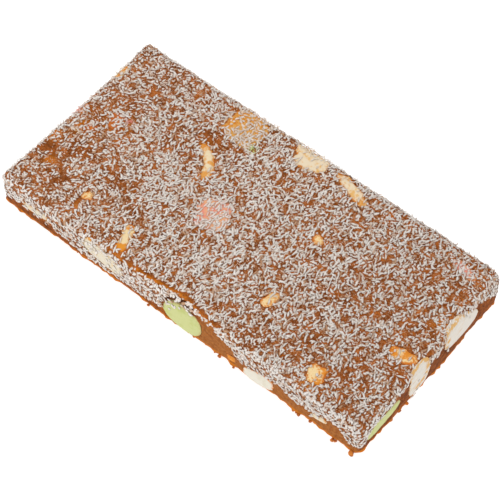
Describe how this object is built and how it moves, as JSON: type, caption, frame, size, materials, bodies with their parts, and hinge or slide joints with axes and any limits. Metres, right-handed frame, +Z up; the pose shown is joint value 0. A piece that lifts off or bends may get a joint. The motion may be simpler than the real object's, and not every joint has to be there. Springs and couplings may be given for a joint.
{
  "type": "lolly cake slice",
  "caption": "Flat rectangular slice of lolly cake: malt biscuit dough with chopped foam sweets set in it, rolled in desiccated coconut.",
  "frame": {"origin": "middle of the slice's own box, on the base that it rests on", "axes": "+X along the slice, towards the end with the long white sweet; +Y across it, away from the side with the large green sweet; +Z up"},
  "size_m": [0.1232, 0.0626, 0.0134],
  "materials": {
    "malt_dough": "dull malt brown biscuit dough, coated with greyish white desiccated coconut",
    "green_sweet": "matt pale green foam sweet",
    "white_sweet": "matt white foam sweet",
    "cream_sweet": "matt cream foam sweet",
    "amber_sweet": "matt amber foam sweet",
    "orange_sweet": "matt orange foam sweet",
    "pink_sweet": "matt pink foam sweet",
    "yellow_sweet": "matt yellow foam sweet"
  },
  "bodies": {
    "root": {"cake_body": "malt_dough", "sweet_amber_back": "amber_sweet", "sweet_crescent": "cream_sweet", "sweet_cream_back": "cream_sweet", "sweet_cream_streak_back": "cream_sweet", "sweet_pink_middle": "pink_sweet", "sweet_yellow_front": "yellow_sweet", "sweet_orange_west": "orange_sweet", "sweet_orange_west_low": "orange_sweet", "sweet_orange_crumb": "orange_sweet", "sweet_orange_ring": "orange_sweet", "sweet_pink_right": "pink_sweet", "sweet_orange_middle": "orange_sweet", "sweet_orange_low": "orange_sweet", "sweet_orange_right": "orange_sweet", "sweet_cream_west": "cream_sweet", "sweet_cream_front": "cream_sweet", "sweet_green_front": "green_sweet", "sweet_chip_front": "orange_sweet", "sweet_white_front": "white_sweet", "sweet_cream_east": "cream_sweet", "sweet_green_end": "green_sweet", "sweet_white_end": "white_sweet", "sweet_white_end_long": "white_sweet", "sweet_yellow_left": "yellow_sweet", "sweet_pink_left": "pink_sweet", "sweet_pink_back": "pink_sweet", "sweet_green_back": "green_sweet"}
  },
  "joints": []
}
